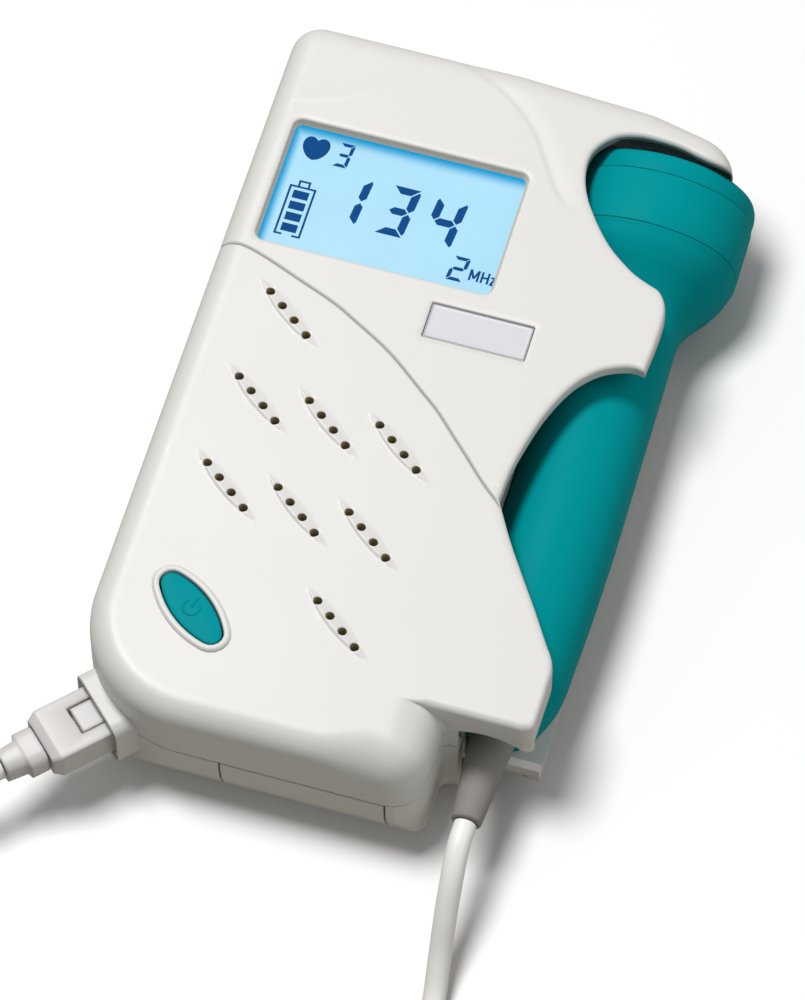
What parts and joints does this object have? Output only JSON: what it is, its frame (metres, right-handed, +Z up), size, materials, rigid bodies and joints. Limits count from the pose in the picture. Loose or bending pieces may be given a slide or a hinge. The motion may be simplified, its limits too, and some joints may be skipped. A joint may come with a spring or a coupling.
{
  "type": "fetal doppler monitor",
  "caption": "Pocket fetal heart monitor with a lit display, a speaker grille, a power button, and a corded ultrasound probe docked along its side.",
  "frame": {"origin": "middle of the base of the monitor lying on its back, measured without the cord", "axes": "+X to the right side where the probe is docked, +Y to the top end above the display, +Z up out of the front face"},
  "size_m": [0.117, 0.26, 0.0358],
  "materials": {
    "shell_white": "off-white moulded, satin",
    "door_white": "off-white moulded, satin",
    "plate_silver": "pale silver printed plate, blank",
    "button_teal": "teal moulded, soft satin",
    "probe_teal": "teal moulded, satin gloss",
    "lens": "clear window",
    "display": "lit light blue display",
    "inner_white": "white moulded",
    "board": "green lacquered board",
    "dark_plastic": "dark moulded",
    "cone_paper": "pressed paper",
    "steel": "plated",
    "cell_sleeve": "plain sleeve",
    "ceramic": "ceramic disc",
    "resin": "cast resin",
    "seal_rubber": "soft seal",
    "relief_grey": "grey moulded strain relief",
    "cord_white": "pale grey cable jacket",
    "plug_white": "white moulded"
  },
  "bodies": {
    "housing": {"front_shell": "shell_white", "rear_shell": "shell_white", "name_plate": "plate_silver", "button_switch": "dark_plastic", "main_board": "board", "speaker_frame": "dark_plastic", "speaker_cone": "cone_paper", "speaker_magnet": "steel", "volume_control": "resin", "earphone_jack": "dark_plastic", "probe_socket": "plug_white", "display_lens": "lens", "display_glass": "display", "display_holder": "inner_white", "case_screw_1": "steel", "case_screw_2": "steel", "case_screw_3": "steel", "case_screw_4": "steel", "board_screw_1": "steel", "board_screw_2": "steel", "battery_cell_1": "cell_sleeve", "battery_cell_2": "cell_sleeve", "battery_contact_1": "steel", "battery_contact_2": "steel", "battery_bridge": "steel", "cord_from_probe": "cord_white", "cord_coil": "cord_white", "cord_to_plug": "cord_white", "cord_tie": "seal_rubber"},
    "probe": {"probe_face": "probe_teal", "probe_head": "probe_teal", "probe_handle": "probe_teal", "transmit_crystal": "ceramic", "receive_crystal": "ceramic", "transducer_backing": "resin", "probe_seal_ring": "seal_rubber", "probe_board": "board", "probe_strain_relief": "relief_grey"},
    "power_button": {"power_button": "button_teal"},
    "volume_wheel": {"volume_wheel": "dark_plastic"},
    "battery_door": {"battery_door": "door_white"},
    "plug": {"plug_body": "plug_white", "plug_boot": "plug_white"},
    "plug_latch": {"plug_latch": "plug_white"}
  },
  "joints": [
    {"name": "power_button_press", "type": "slide", "parent": "housing", "child": "power_button", "axis": [0, 0, -1], "range_m": [0, 0.0008], "stiffness_N_per_m": 400},
    {"name": "volume_turn", "type": "hinge", "parent": "housing", "child": "volume_wheel", "pos_m": [-0.03745, 0.03492, 0.015], "axis": [0, 0, 1], "range_deg": [-135, 135]},
    {"name": "battery_door_slide", "type": "slide", "parent": "housing", "child": "battery_door", "axis": [0, -1, 0], "range_m": [0, 0.03]},
    {"name": "probe_release", "type": "slide", "parent": "housing", "child": "probe", "axis": [1, 0, 0], "range_m": [0, 0.045], "deforming": ["cord_from_probe"]},
    {"name": "plug_pull", "type": "slide", "parent": "housing", "child": "plug", "axis": [-0.6947, -0.7193, 0], "range_m": [0, 0.009], "deforming": ["cord_to_plug"]},
    {"name": "plug_latch_press", "type": "hinge", "parent": "plug", "child": "plug_latch", "pos_m": [-0.03361, -0.0627, 0.0226], "axis": [0.7193, -0.6947, 0], "range_deg": [0, 5], "stiffness_Nm_per_rad": 0.02}
  ]
}
